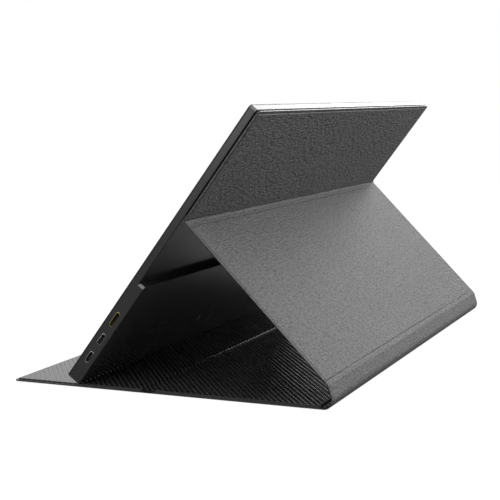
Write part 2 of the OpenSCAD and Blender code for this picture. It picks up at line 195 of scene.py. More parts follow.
def on_cover(x, v, z):
    """A point of the cover from its unfolded place: across x, along v, and z up from the outer face."""
    if v <= ROLL_V:
        return on_base(x, v, z)
    if v <= SPINE_V:
        a = -math.pi / 2 + (v - ROLL_V) / (SPINE_BEND_R - SKIN_T)
        r = SPINE_BEND_R - z
        return (x, ROLL_Y + r * math.cos(a), SPINE_BEND_R + r * math.sin(a))
    if v <= KNEE_V:
        return on_spine(x, v - SPINE_V, z)
    if v <= LEG_V:
        a = math.pi / 2 - SPINE_SLOPE + (v - KNEE_V) / (LEG_BEND_R - SKIN_T)
        r = LEG_BEND_R - z
        return (x, KNEE_CY + r * math.cos(a), KNEE_CZ + r * math.sin(a))
    if v <= CREASE_V:
        return on_leg(x, v - LEG_V + KNEE_IN, z)
    if v <= UPPER_V:
        a = 1.5 * math.pi - LEG_SLOPE - (v - CREASE_V) / (CREASE_OUT + SKIN_T)
        r = CREASE_OUT + z
        return (x, CREASE_Y + r * math.cos(a), CREASE_Z + r * math.sin(a))
    return on_monitor(x, CREASE_S + v - UPPER_V, UPPER_Z + z)


# Lines along the folds of the leather, dipped in the bump and darkened in colour as painted shade: place
# along the cover, half width, darkness, drift to either side, and how far the line fades in patches.
CREASE_SHADE_LINES = (
    ((CREASE_V + UPPER_V) / 2 + 0.4, 0.75, 0.35, 0.25, 0.0),
    (CREASE_V - WEB - 1.5, 0.6, 0.72, 0.35, 0.25),
    (LEG_V + WEB + 1.5, 0.6, 0.55, 0.2, 0.4),
)


# Materials.
class Nodes:
    """A principled material and short ways to add nodes to it."""

    def __init__(self, name, color, rough, metal=0.0, spec=0.5):
        self.mat = bpy.data.materials.new(name)
        self.mat.use_nodes = True
        self.tree = self.mat.node_tree
        self.bsdf = self.tree.nodes["Principled BSDF"]
        self.set(self.bsdf, "Base Color", color)
        self.set(self.bsdf, "Roughness", rough)
        self.set(self.bsdf, "Metallic", metal)
        self.set(self.bsdf, "Specular IOR Level", spec)
        self.mat.diffuse_color = (*color[:3], 1)

    def set(self, node, key, value):
        socket = node.inputs[key]
        if isinstance(value, bpy.types.NodeSocket):
            self.tree.links.new(value, socket)
        elif isinstance(value, (tuple, list)) and len(value) == 3 and socket.type == "RGBA":
            socket.default_value = (*value, 1)
        else:
            socket.default_value = value

    def node(self, kind, **values):
        made = self.tree.nodes.new("ShaderNode" + kind)
        for key, value in values.items():
            if key.startswith("_"):
                setattr(made, key[1:], value)
            else:
                self.set(made, key.replace("_", " ") if key not in made.inputs else key, value)
        return made

    def coords(self, kind="Object"):
        return self.node("TexCoord").outputs[kind]

    def noise(self, vector, scale, detail=3.0, rough=0.5, distortion=0.0):
        made = self.node("TexNoise", Vector=vector, Scale=scale, Detail=detail, Roughness=rough)
        made.inputs["Distortion"].default_value = distortion
        return made.outputs["Fac"]

    def cells(self, vector, scale, feature="F1", randomness=1.0):
        made = self.node("TexVoronoi", _feature=feature, Vector=vector, Scale=scale)
        made.inputs["Randomness"].default_value = randomness
        return made.outputs["Distance"]

    def math(self, kind, a, b=0.0, clamp=False):
        made = self.tree.nodes.new("ShaderNodeMath")
        made.operation = kind
        made.use_clamp = clamp
        self.set_index(made, 0, a)
        self.set_index(made, 1, b)
        return made.outputs[0]

    def set_index(self, node, i, value):
        if isinstance(value, bpy.types.NodeSocket):
            self.tree.links.new(value, node.inputs[i])
        else:
            node.inputs[i].default_value = value

    def ramp(self, fac, stops, interpolation="LINEAR"):
        made = self.tree.nodes.new("ShaderNodeValToRGB")
        made.color_ramp.interpolation = interpolation
        self.set(made, "Fac", fac)
        band = made.color_ramp.elements
        while len(band) < len(stops):
            band.new(0.5)
        for element, (place, value) in zip(band, stops):
            element.position = place
            if isinstance(value, (int, float)):
                value = (value, value, value)
            element.color = (*value, 1)
        return made.outputs["Color"]

    def span(self, value, a0, a1, b0, b1):
        made = self.tree.nodes.new("ShaderNodeMapRange")
        keys = ("Value", "From Min", "From Max", "To Min", "To Max")
        for key, v in zip(keys, (value, a0, a1, b0, b1)):
            self.set(made, key, v)
        return made.outputs["Result"]

    def mix(self, fac, a, b):
        made = self.tree.nodes.new("ShaderNodeMix")
        made.data_type = "RGBA"
        self.set_index(made, 0, fac)
        for i, value in ((6, a), (7, b)):
            if isinstance(value, (tuple, list)) and len(value) == 3:
                value = (*value, 1)
            self.set_index(made, i, value)
        return made.outputs[2]

    def bump(self, height, depth, strength=1.0):
        made = self.node("Bump", Height=height, Distance=depth, Strength=strength)
        self.set(self.bsdf, "Normal", made.outputs["Normal"])
        return made


def grey(v):
    return (v, v, v * 1.01)


def leather(name, tone, grain, depth, rough, spec, hollow_shade, top_highlight):
    """Embossed leather: long soft pebbles across the width, with painted shade in their hollows and a
    painted highlight on their tops, a smooth border painted darker as painted shade of its recess, and
    cut edges painted paler as a painted highlight.
    """
    m = Nodes(name, grey(tone), rough, spec=spec)
    uv = m.coords("UV")
    long = m.node("Mapping", Vector=uv)
    long.inputs["Scale"].default_value = (0.42, 1.0, 1.0)
    long.inputs["Rotation"].default_value = (0, 0, 0.12)
    long = long.outputs["Vector"]
    parts = m.node("SeparateXYZ", Vector=uv)
    x = m.math("ABSOLUTE", m.math("SUBTRACT", parts.outputs["X"], 0.2))
    v = parts.outputs["Y"]
    wobble = m.node("TexNoise", Vector=long, Scale=0.5 / grain, Detail=2.0)
    shift = m.node("VectorMath", _operation="SCALE")
    m.tree.links.new(wobble.outputs["Color"], shift.inputs[0])
    shift.inputs["Scale"].default_value = grain * 1.2
    bent = m.node("VectorMath", _operation="ADD")
    m.tree.links.new(long, bent.inputs[0])
    m.tree.links.new(shift.outputs["Vector"], bent.inputs[1])
    pebble = m.span(m.cells(bent.outputs["Vector"], 0.8 / grain, "SMOOTH_F1"), 0.1, 0.75, 1.0, 0.0)
    fine = m.noise(long, 1.3 / grain, 2.0, 0.65)
    broad = m.noise(uv, 22.0, 2.0, 0.5)
    inside = m.span(x, (HALF_W - BORDER_W - 0.3) / 1000, (HALF_W - BORDER_W + 0.2) / 1000, 1.0, 0.0)
    for edge, way in ((BORDER_W, 1), (UPPER_V + MONITOR_H - CREASE_S - BORDER_W, -1)):
        near = m.span(v, (edge - 0.25 * way) / 1000, (edge + 0.25 * way) / 1000, 0.0, 1.0)
        inside = m.math("MULTIPLY", inside, near)
    height = m.math("ADD", m.math("MULTIPLY", pebble, 0.55), m.math("MULTIPLY", fine, 0.75))
    grained = m.math("MULTIPLY", height, m.span(inside, 0.0, 1.0, 0.35, 1.0))
    # Grain tone follows the grain's height: painted shade in the hollows and a painted highlight on the
    # pebble tops.
    shade = m.span(height, 0.35, 0.95, hollow_shade, top_highlight)
    shade = m.math("ADD", shade, m.span(broad, 0.3, 0.7, -0.04, 0.04))
    # The pressed border band is painted darker, as painted shade of its recess.
    shade = m.math("MULTIPLY", shade, m.span(inside, 0.0, 1.0, 0.68, 1.0))
    # The outer 0.2 mm of the cut edges is painted up to 2.1 times paler, a painted highlight where the
    # edge catches light.
    cut_edge_highlight = m.span(x, (HALF_W - 0.2) / 1000, (HALF_W - 0.05) / 1000, 1.0, 2.1)
    shade = m.math("MULTIPLY", shade, cut_edge_highlight)
    # Painted shade: the colour is darkened along each fold line, and the bump dips there too.
    for middle, half, dark, wave, patch in CREASE_SHADE_LINES:
        drift = m.span(m.noise(uv, 90.0, 2.0), 0.3, 0.7, (middle - wave) / 1000, (middle + wave) / 1000)
        off = m.math("ABSOLUTE", m.math("SUBTRACT", v, drift))
        line = m.span(off, half * 0.25 / 1000, half / 1000, 1.0, 0.0)
        if patch:
            line = m.math("MULTIPLY", line, m.span(m.noise(uv, 160.0, 2.0), 0.4, 0.6, patch, 1.0))
        shade = m.math("MULTIPLY", shade, m.span(line, 0.0, 1.0, 1.0, dark))
        grained = m.math("SUBTRACT", grained, m.math("MULTIPLY", line, (1 - dark) * 1.5))
    scaled = m.node("VectorMath", _operation="SCALE")
    scaled.inputs[0].default_value = grey(tone)
    m.tree.links.new(shade, scaled.inputs["Scale"])
    m.set(m.bsdf, "Base Color", scaled.outputs["Vector"])
    m.set(m.bsdf, "Roughness", m.span(height, 0.3, 1.0, min(rough + 0.14, 1.0), rough))
    m.bump(grained, depth)
    return m.mat


def lining_material():
    """Glossy dark lining with a painted highlight: a paler line along the wall of each groove that faces
    the light.
    """
    m = Nodes("ribbed_lining", grey(0.016), 0.2, spec=0.5)
    uv = m.coords("UV")
    grain = m.noise(uv, 1900.0, 2.0, 0.6)
    broad = m.noise(uv, 40.0, 2.0)
    mixed = m.math("MULTIPLY", m.math("ADD", grain, broad), 0.5)
    flat = m.ramp(mixed, [(0.3, grey(0.012)), (0.7, grey(0.02))])
    parts = m.node("SeparateXYZ", Vector=uv)
    middle = m.math("SUBTRACT", parts.outputs["X"], 0.2)
    across = m.math("MULTIPLY", middle, -math.sin(RIB_ANGLE) * 1000 / RIB_PITCH)
    along = m.math("MULTIPLY", parts.outputs["Y"], math.cos(RIB_ANGLE) * 1000 / RIB_PITCH)
    phase = m.math("FRACT", m.math("ADD", across, along))
    off = m.math("ABSOLUTE", m.math("SUBTRACT", phase, RIB_LIT_WALL / RIB_PITCH))
    side = m.math("ABSOLUTE", middle)
    pad = m.span(side, (HALF_W - BORDER_W - 0.2) / 1000, (HALF_W - BORDER_W - 0.1) / 1000, 1.0, 0.0)
    # Painted highlight: inside the pad, the groove wall that faces the light is painted paler (0.12).
    line = m.math("MULTIPLY", pad, m.span(off, 0.05, 0.075, 1.0, 0.0))
    m.set(m.bsdf, "Base Color", m.mix(line, flat, grey(0.12)))
    m.set(m.bsdf, "Roughness", m.span(broad, 0.3, 0.7, 0.18, 0.23))
    m.bump(grain, 0.000006, 0.4)
    return m.mat


def housing_material():
    """Dark anodised metal with a fine blast."""
    m = Nodes("housing_dark_satin", grey(0.04), 0.26, spec=0.5)
    at = m.coords()
    blast = m.noise(at, 3200.0, 2.0, 0.6)
    broad = m.noise(at, 14.0, 3.0, 0.55)
    m.set(m.bsdf, "Base Color", m.ramp(broad, [(0.3, grey(0.037)), (0.7, grey(0.043))]))
    patchy = m.math("ADD", m.math("MULTIPLY", blast, 0.3), broad)
    m.set(m.bsdf, "Roughness", m.span(patchy, 0.4, 0.9, 0.22, 0.28))
    m.bump(blast, 0.000006, 0.4)
    return m.mat


def plastic(name, color, rough, grain=2500.0, depth=0.00002, spec=0.5, spread=0.12):
    """Plain moulded plastic."""
    m = Nodes(name, color, rough, spec=spec)
    at = m.coords()
    fine = m.noise(at, grain, 2.0, 0.6)
    broad = m.noise(at, 60.0, 3.0)
    low = tuple(c * (1 - spread) for c in color)
    high = tuple(min(c * (1 + spread), 1) for c in color)
    m.set(m.bsdf, "Base Color", m.ramp(broad, [(0.3, low), (0.7, high)]))
    m.set(m.bsdf, "Roughness", m.span(broad, 0.3, 0.7, rough - 0.04, rough + 0.06))
    m.bump(fine, depth, 0.6)
    return m.mat


def metal(name, color, rough, grain=900.0, spread=0.08):
    """Bare or plated metal."""
    m = Nodes(name, color, rough, metal=1.0)
    at = m.coords()
    broad = m.noise(at, 130.0, 3.0)
    fine = m.noise(at, grain, 2.0, 0.6)
    low = tuple(c * (1 - spread) for c in color)
    m.set(m.bsdf, "Base Color", m.ramp(broad, [(0.3, low), (0.7, color)]))
    m.set(m.bsdf, "Roughness", m.span(fine, 0.3, 0.7, max(rough - 0.05, 0.05), rough + 0.08))
    m.bump(fine, 0.000008, 0.5)
    return m.mat


def board_material():
    """Circuit board with faint tracks."""
    m = Nodes("circuit_green", (0.01, 0.08, 0.035), 0.35)
    at = m.coords()
    cells = m.cells(at, 420.0, "F1", 0.4)
    pad, track, mask = (0.35, 0.3, 0.12), (0.012, 0.11, 0.05), (0.008, 0.07, 0.03)
    tracks = m.ramp(cells, [(0.1, pad), (0.16, track), (0.6, mask)])
    m.set(m.bsdf, "Base Color", tracks)
    m.set(m.bsdf, "Roughness", m.span(m.noise(at, 60.0), 0.3, 0.7, 0.28, 0.45))
    m.bump(cells, 0.00004, 0.5)
    return m.mat


def screen_material():
    """Dark glossy glass of the screen."""
    m = Nodes("screen_black_glass", (0.006, 0.006, 0.008), 0.16, spec=0.5)
    at = m.coords()
    fine = m.noise(at, 5200.0, 1.0)
    broad = m.noise(at, 5.0, 2.0)
    shade = m.ramp(broad, [(0.3, (0.005, 0.005, 0.006)), (0.7, (0.008, 0.008, 0.011))])
    m.set(m.bsdf, "Base Color", shade)
    m.set(m.bsdf, "Roughness", m.span(fine, 0.3, 0.7, 0.13, 0.2))
    m.bump(fine, 0.000004, 0.4)
    return m.mat


MATERIALS = {
    "housing": housing_material(),
    "bezel": plastic("bezel_black", grey(0.008), 0.42),
    "screen": screen_material(),
    "films": plastic("films_frosted", (0.8, 0.8, 0.78), 0.6),
    "guide": plastic("guide_acrylic", (0.72, 0.76, 0.78), 0.15),
    "tray": metal("tray_steel", (0.55, 0.56, 0.57), 0.35),
    "led": plastic("led_phosphor", (0.8, 0.7, 0.3), 0.5),
    "foam": plastic("foam_black", grey(0.03), 0.85, 800.0, 0.0002),
    "circuit": board_material(),
    "chip": plastic("chip_black", grey(0.02), 0.45),
    "tin": metal("tinned_steel", (0.62, 0.63, 0.64), 0.32),
    "screw": metal("black_nickel", (0.22, 0.22, 0.23), 0.3),
    "connector": metal("connector_nickel", (0.62, 0.63, 0.65), 0.28),
    "gold": metal("connector_gold", (0.5, 0.42, 0.2), 0.3),
    "tongue": plastic("tongue_black", grey(0.008), 0.4),
    "speaker": plastic("speaker_black", grey(0.02), 0.5),
    "wire": plastic("wire_red", (0.35, 0.02, 0.02), 0.4),
    "ribbon": plastic("ribbon_amber", (0.45, 0.2, 0.04), 0.3),
    "button": plastic("button_dark", grey(0.03), 0.3),
    "magnet": metal("magnet_nickel", (0.6, 0.6, 0.62), 0.22),
    "adhesive": plastic("adhesive_black", grey(0.04), 0.7),
    "leather": leather("leather_pebbled", 0.074, 0.0013, 0.0009, 0.46, 0.5, 0.4, 1.65),
    "leather_soft": leather("leather_fine", 0.074, 0.0009, 0.0005, 0.5, 0.5, 0.5, 1.5),
    "stiffener": plastic("stiffener_board", (0.35, 0.3, 0.2), 0.6),
    "lining": lining_material(),
}

for row in frame["record"]["subparts"]:
    shown = frame["nodes"].get(row["node"])
    if shown is None:
        continue
    shown.data.materials.clear()
    shown.data.materials.append(MATERIALS[row["material_slot"]])


# Mesh code.
def finish_mesh(bm, name, material, angle=30.0, weld=0.00001):
    bmesh.ops.remove_doubles(bm, verts=bm.verts, dist=weld)
    bmesh.ops.recalc_face_normals(bm, faces=bm.faces)
    mesh = bpy.data.meshes.new(name)
    bm.to_mesh(mesh)
    bm.free()
    for face in mesh.polygons:
        face.use_smooth = True
    mesh.set_sharp_from_angle(angle=math.radians(angle))
    mesh.materials.append(material)
    made = bpy.data.objects.new(name, mesh)
    bpy.context.scene.collection.objects.link(made)
    return made


def weighted(obj):
    mod = obj.modifiers.new("weighted", "WEIGHTED_NORMAL")
    mod.keep_sharp = True
    mod.weight = 60
    return obj


def mm(p):
    return Vector((p[0] / 1000, p[1] / 1000, p[2] / 1000))


def loft(bm, rings, place, cap_first=True, cap_last=True, closed=False):
    """Joins rings of (x, y, z) points, all of one length, into a skin."""
    rows = [[bm.verts.new(mm(place(*p))) for p in ring] for ring in rings]
    count = len(rows[0])
    pairs = list(zip(rows, rows[1:]))
    if closed:
        pairs.append((rows[-1], rows[0]))
    for a, b in pairs:
        for i in range(count):
            j = (i + 1) % count
            quad = [a[i], a[j], b[j], b[i]]
            if len({tuple(round(c, 8) for c in v.co) for v in quad}) > 2:
                bm.faces.new(quad)
    if not closed and cap_first:
        bm.faces.new(rows[0])
    if not closed and cap_last:
        bm.faces.new(rows[-1][::-1])
    return rows


def rounded(hw, y0, y1, r0, r1, steps=5):
    """Outline of a rectangle, corners of radius r0 at y0 and r1 at y1."""
    points = []
    for cx, cy, r, a0 in ((hw, y0, r0, -90), (hw, y1, r1, 0), (-hw, y1, r1, 90), (-hw, y0, r0, 180)):
        r = max(r, 0.0)
        mx = cx - math.copysign(r, cx)
        my = cy + r if cy == y0 else cy - r
        for i in range(steps + 1):
            a = math.radians(a0 + 90 * i / steps)
            points.append((mx + r * math.cos(a), my + r * math.sin(a)))
    return points


def stadium(length, width, steps=10):
    """Outline of a slot, long side along the first axis."""
    r = width / 2
    half = length / 2 - r
    points = []
    for i in range(steps + 1):
        a = math.radians(-90 + 180 * i / steps)
        points.append((half + r * math.cos(a), r * math.sin(a)))
    for i in range(steps + 1):
        a = math.radians(90 + 180 * i / steps)
        points.append((-half + r * math.cos(a), r * math.sin(a)))
    return points


def round_edge(r, steps=4):
    """Insets and depths of a quarter round, from the face side to the wall side."""
    angles = [math.radians(90 * i / steps) for i in range(steps + 1)]
    return [(r - r * math.sin(a), r - r * math.cos(a)) for a in angles]


def cut(obj, cutter, kind="DIFFERENCE"):
    mod = obj.modifiers.new("cut", "BOOLEAN")
    mod.operation = kind
    mod.solver = "EXACT"
    mod.object = cutter
    bpy.context.view_layer.update()
    deps = bpy.context.evaluated_depsgraph_get()
    made = bpy.data.meshes.new_from_object(obj.evaluated_get(deps))
    obj.modifiers.clear()
    old = obj.data
    obj.data = made
    made.name = obj.name
    bpy.data.meshes.remove(old)
    bpy.data.objects.remove(cutter)


def smooth(obj, angle=30.0):
    for face in obj.data.polygons:
        face.use_smooth = True
    obj.data.set_sharp_from_angle(angle=math.radians(angle))


# Camera, at the photograph's viewing angle.
CAM_AT = (823.3, 358.25, 186.54)
CAM_AZ = 110.676
CAM_EL = 8.096
CAM_ROLL = -0.267
CAM_FOCAL_PX = 1187.32
CAM_CENTRE = (334.91, 264.77)
camera = bpy.data.objects.new("camera", bpy.data.cameras.new("camera"))
bpy.context.scene.collection.objects.link(camera)
az = math.radians(CAM_AZ)
el = math.radians(CAM_EL)
back = Vector((math.sin(az) * math.cos(el), -math.cos(az) * math.cos(el), math.sin(el)))
right = Vector((math.cos(az), math.sin(az), 0))
up = back.cross(right)
turn = Matrix((right, up, back)).transposed() @ Matrix.Rotation(math.radians(CAM_ROLL), 3, "Z")
camera.matrix_world = Matrix.Translation(mm(CAM_AT)) @ turn.to_4x4()
camera.data.sensor_width = 36.0
camera.data.lens = CAM_FOCAL_PX / 500 * 36.0
camera.data.shift_x = (250 - CAM_CENTRE[0]) / 500
camera.data.shift_y = (CAM_CENTRE[1] - 250) / 500
camera.data.clip_start = 0.01
camera.data.clip_end = 20.0
bpy.context.scene.camera = camera


# Housing of the monitor.
def shell_rings(y0, y1, r, z_face, z_top, edge, foot=0.0):
    """Rings of a flat box from its back face up, with rounded back edges and a faceted foot."""
    levels = {round(d, 4) for _, d in round_edge(edge)}
    if foot:
        levels |= {round(foot * (1 - math.cos(math.radians(a))), 4) for a in FOOT_FACETS}
    levels = sorted(levels)
    rings = []
    for depth in levels + [z_top - z_face]:
        side = edge - math.sqrt(max(edge ** 2 - (edge - min(depth, edge)) ** 2, 0))
        low = side
        if foot:
            low = foot - math.sqrt(max(foot ** 2 - (foot - min(depth, foot)) ** 2, 0))
        ring = rounded(SIDE_X - side, y0 + low, y1 - side, max(r - side, 0.4), max(r - side, 0.4), 1)
        rings.append([(x, y, z_face + depth) for x, y in ring])
    return rings


def solid(name, rings, place, material):
    """One closed piece lofted from rings."""
    bm = bmesh.new()
    loft(bm, rings, place)
    return finish_mesh(bm, name, material)


def slot_cutter(x0, x1, s, t, length, width, lip=0.0, face=0.0):
    """A stadium cutter along X with a small chamfer at the face."""
    rings = []
    for x, grow in ((x0, 0.0), (face - math.copysign(lip, face), 0.0), (face, lip), (x1, lip)):
        ring = stadium(length + 2 * grow, width + 2 * grow)
        rings.append([(x, s + a, t + b) for a, b in ring])
    if x1 < x0:
        rings = [ring[::-1] for ring in rings]
    return solid("cutter", rings, on_monitor, MATERIALS["housing"])


def round_cutter(x0, x1, s, t, r):
    """Cutter of a round hole through the side."""
    ring = [(s + r * math.cos(i * math.pi / 16), t + r * math.sin(i * math.pi / 16)) for i in range(32)]
    rings = [[(x, a, b) for a, b in ring] for x in (x0, x1)]
    return solid("cutter", rings, on_monitor, MATERIALS["housing"])


def box_cutter(hw, y0, y1, z0, z1, r=0.3):
    """Cutter of a block."""
    ring = rounded(hw, y0, y1, r, r, 3)
    rings = [[(x, y, z) for x, y in ring] for z in (z0, z1)]
    return solid("cutter", rings, on_monitor, MATERIALS["housing"])


def make_housing():
    """Back shell with its chin, cut-outs and sound slots."""
    front = BEZEL_Z - SEAM
    plate = solid("housing", shell_rings(0, MONITOR_H, OUTLINE_R, BACK_Z, front, PLATE_EDGE),
                  on_monitor, MATERIALS["housing"])
    chin = solid("chin", shell_rings(0, CHIN_H, OUTLINE_R, 0, front, CHIN_EDGE, FOOT_SHOWN),
                 on_monitor, MATERIALS["housing"])
    cut(plate, chin, "UNION")
    cut(plate, box_cutter(SIDE_X - WALL_T, WALL_T, MONITOR_H - WALL_T, INNER_Z, BEZEL_Z + 1))
    cut(plate, box_cutter(SIDE_X - WALL_T, WALL_T + 0.6, CHIN_H - WALL_T, WALL_T, INNER_Z + 1))
    for s, (length, width) in ((USB_LOWER_S, USB_OUTER), (USB_UPPER_S, USB_OUTER), (HDMI_S, HDMI_OUTER)):
        length += SOCKET_GAP
        width += SOCKET_GAP
        cut(plate, slot_cutter(SIDE_X - 3, SIDE_X + 2, s, PORT_Z, length, width, 0.05, SIDE_X))
    for s, (length, width) in ((POWER_S, POWER_MOUTH), (ROCKER_S, ROCKER_MOUTH)):
        cut(plate, slot_cutter(-SIDE_X + 3, -SIDE_X - 2, s, PORT_Z, length, width, 0.15, -SIDE_X))
    cut(plate, round_cutter(-SIDE_X + 3, -SIDE_X - 2, JACK_S, JACK_Z, JACK_MOUTH_R))
    for side in (-1, 1):
        rings = []
        for s, grow in ((CHIN_H - 3, 0.0), (CHIN_H - 0.15, 0.0), (CHIN_H, 0.15), (CHIN_H + 2, 0.15)):
            ring = stadium(SPEAKER_SLOT[0] + 2 * grow, SPEAKER_SLOT[1] + 2 * grow)
            rings.append([(side * SPEAKER_X + a, s, SPEAKER_SLOT_Z + b) for a, b in ring])
        cut(plate, solid("cutter", rings, on_monitor, MATERIALS["housing"]))
    smooth(plate, 35)
    weighted(plate)
    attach(plate, "monitor")
    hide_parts("back_shell")
    return plate


make_housing()


def make_bezel():
    """Front frame of the screen."""
    rings = []
    for z, inset in ((BEZEL_Z - SEAM, 0.3), (BEZEL_Z + 0.02, 0.0), (CHIN_T - 0.35, 0.0),
                     (CHIN_T - 0.22, 0.03), (CHIN_T - 0.1, 0.12), (CHIN_T - 0.02, 0.25), (CHIN_T, 0.42)):
        corner = OUTLINE_R - inset
        ring = rounded(SIDE_X - inset, inset, MONITOR_H - inset, corner, corner, 1)
        rings.append([(x, y, z) for x, y in ring])
    for z, inset in ((CHIN_T, 0.2), (CHIN_T - 0.06, 0.05), (CHIN_T - 0.2, 0.0), (CHIN_T - 0.5, 0.0)):
        ring = rounded(SCREEN_W / 2 + inset, SCREEN_Y - inset, SCREEN_Y + SCREEN_H + inset, 0.3, 0.3, 1)
        rings.append([(x, y, z) for x, y in ring])
    grow = 2.3
    for z in (CHIN_T - 0.5, BEZEL_Z - SEAM):
        ring = rounded(SCREEN_W / 2 + grow, SCREEN_Y - grow, SCREEN_Y + SCREEN_H + grow, 0.3, 0.3, 1)
        rings.append([(x, y, z) for x, y in ring])
    bm = bmesh.new()
    loft(bm, rings, on_monitor, closed=True)
    made = finish_mesh(bm, "front_bezel", MATERIALS["bezel"])
    weighted(made)
    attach(made, "monitor")
    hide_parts("screen_bezel")


make_bezel()


# Sockets on the visible side.
def make_socket(name, node, tongue, s, outer, inner, material, tongue_len, contacts):
    """Socket shell seen from the side, with its tongue and contacts."""
    (ol, ow), (il, iw) = outer, inner
    rings = []
    for deep, length, width, grow in ((9, ol, ow, 0), (0.1, ol, ow, 0), (0.04, ol, ow, -0.06),
                                      (0.02, ol, ow, -0.14), (0.02, il, iw, 0.12), (0.07, il, iw, 0.03),
                                      (0.2, il, iw, 0), (8, il, iw, 0)):
        ring = stadium(length + grow, width + grow, 14)
        rings.append([(SIDE_X - deep, s + a, PORT_Z + b) for a, b in ring])
    bm = bmesh.new()
    loft(bm, rings, on_monitor)
    made = finish_mesh(bm, name, MATERIALS[material], 40)
    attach(made, "monitor")
    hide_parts(node)
    half, thick, reach = tongue_len
    rings = []
    for deep, a, b in ((8, half, thick), (reach + 0.25, half, thick), (reach, half - 0.2, thick * 0.5)):
        rings.append([(SIDE_X - deep, s + p, PORT_Z + q) for p, q in rounded(a, -b, b, 0.12, 0.12, 2)])
    bm = bmesh.new()
    loft(bm, rings, on_monitor)
    made = finish_mesh(bm, name + "_tongue", MATERIALS["tongue"], 40)
    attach(made, "monitor")
    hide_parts(tongue)
    bm = bmesh.new()
    count, pitch = contacts
    for i in range(count):
        y = (i - (count - 1) / 2) * pitch
        for side in (-1, 1):
            z = side * (thick + 0.015)
            w = pitch * 0.27
            corners = ((w, -0.03), (w, 0.03), (-w, 0.03), (-w, -0.03))
            rings = [[(x, s + y + a, PORT_Z + z + b) for a, b in corners]
                     for x in (SIDE_X - 7.5, SIDE_X - reach - 0.6)]
            loft(bm, rings, on_monitor)
    made = finish_mesh(bm, name + "_contacts", MATERIALS["gold"], 40)
    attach(made, "monitor")


for level, s in (("lower", USB_LOWER_S), ("upper", USB_UPPER_S)):
    make_socket("usb_socket_" + level, "usb_c_" + level, "usb_c_" + level + "_tongue", s, USB_OUTER,
                USB_INNER, "connector", (3.3, 0.35, 1.0), (12, 0.5))
make_socket("hdmi_socket", "mini_hdmi", "mini_hdmi_tongue", HDMI_S, HDMI_OUTER,
            HDMI_INNER, "gold", (4.2, 0.4, 1.0), (10, 0.8))


# Buttons and the headphone jack on the other side.
def make_caps():
    """Caps of the power button and the menu rocker."""
    for name, node, s, length, hollow_shade in (("power_cap", "power_button", POWER_S, 8.0, 0.0),
                                          ("menu_cap", "menu_rocker", ROCKER_S, 12.0, 0.22)):
        rings = []
        for out, inset in ((-1.5, 0.0), (0.1, 0.0), (0.24, 0.05), (0.34, 0.16), (0.4, 0.34)):
            ring = stadium(length - 2 * inset, 3.0 - 2 * inset)
            rings.append([(-SIDE_X - out, s + a, PORT_Z + b) for a, b in ring])
        for inset, dip in ((0.7, 0.05), (1.0, 0.1), (1.3, 0.12)):
            ring = stadium(length - 2 * inset, 3.0 - 2 * inset)
            rings.append([(-SIDE_X - 0.4 + dip + hollow_shade * math.exp(-(a / 1.6) ** 2), s + a, PORT_Z + b)
                          for a, b in ring])
        bm = bmesh.new()
        loft(bm, [ring[::-1] for ring in rings], on_monitor)
        made = finish_mesh(bm, name, MATERIALS["button"], 40)
        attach(made, node)
        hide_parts(node)


make_caps()


def make_jack():
    """Ring and bore of the headphone jack."""
    angles = [a * math.pi / 20 for a in range(40)]
    rings = []
    for deep, r in ((9, 2.5), (0.1, 2.5), (-0.05, 2.42), (-0.08, 2.3), (-0.08, 2.05), (0.0, 1.88),
                    (0.25, JACK_R), (12.5, JACK_R)):
        rings.append([(-SIDE_X + deep, JACK_S + r * math.cos(a), JACK_Z - r * math.sin(a))
                      for a in angles])
    bm = bmesh.new()
    loft(bm, rings, on_monitor, cap_first=False, cap_last=True)
    made = finish_mesh(bm, "jack_ring", MATERIALS["tongue"], 40)
    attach(made, "monitor")


make_jack()


def make_grilles():
    """Fine metal cloth behind the two speaker slots of the step."""
    bm = bmesh.new()
    behind = CHIN_H - 0.9
    wire = [(0.09 * math.cos(a * math.pi / 3), 0.09 * math.sin(a * math.pi / 3)) for a in range(6)]
    for side in (-1, 1):
        middle = side * SPEAKER_X
        for i in range(15):
            x = middle + (i - 7) * 0.86
            rings = [[(x + p, behind + q, z) for p, q in wire]
                     for z in (SPEAKER_SLOT_Z - 1.2, SPEAKER_SLOT_Z + 1.2)]
            loft(bm, rings, on_monitor)
        for j in range(4):
            z = SPEAKER_SLOT_Z + (j - 1.5) * 0.6
            rings = [[(x, behind + p, z + q) for p, q in wire] for x in (middle - 6.5, middle + 6.5)]
            loft(bm, rings, on_monitor)
    made = finish_mesh(bm, "speaker_cloth", MATERIALS["tongue"], 60)
    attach(made, "monitor")


make_grilles()


# The cover.
def skin_panel(name, body, node, slot, v0, v1, e0, e1, r0=0.0, r1=0.0, free0=False, free1=False):
    """Outer leather of one stiff panel: a raised pad inside a flat pressed border."""
    rings = []
    for inset, z in SKIN_EDGE:
        a = inset if free0 else 0.0
        b = inset if free1 else 0.0
        ring = rounded(HALF_W - inset, v0 + a, v1 - b, max(r0 - inset, 0.0), max(r1 - inset, 0.0))
        rings.append([(x, y, z) for x, y in ring])
    for grow, z in ((-0.42, SKIN_LO), (-0.2, SKIN_LO - 0.02), (0.0, SKIN_LO - 0.09),
                    (0.2, 0.03), (0.45, 0.0)):
        ring = rounded(HALF_W - BORDER_W - grow, v0 + e0 + grow, v1 - e1 - grow,
                       max(r0 - BORDER_W, 0.5), max(r1 - BORDER_W, 0.5))
        rings.append([(x, y, z) for x, y in ring])
    bm = bmesh.new()
    loft(bm, [ring[::-1] for ring in rings], on_cover)
    return cover_piece(bm, name, body, node, slot)


def cover_piece(bm, name, body, node, slot, blend=None):
    """Finish one cover piece: UV, slot, and either the body that carries it or, for a fold, its place
    baked into the mesh.
    """
    made = finish_mesh(bm, name, MATERIALS[slot], 50)
    add_uv(made)
    if blend:
        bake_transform(made)
    else:
        weighted(made)
        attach(made, body)
    if node:
        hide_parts(node)
    return made


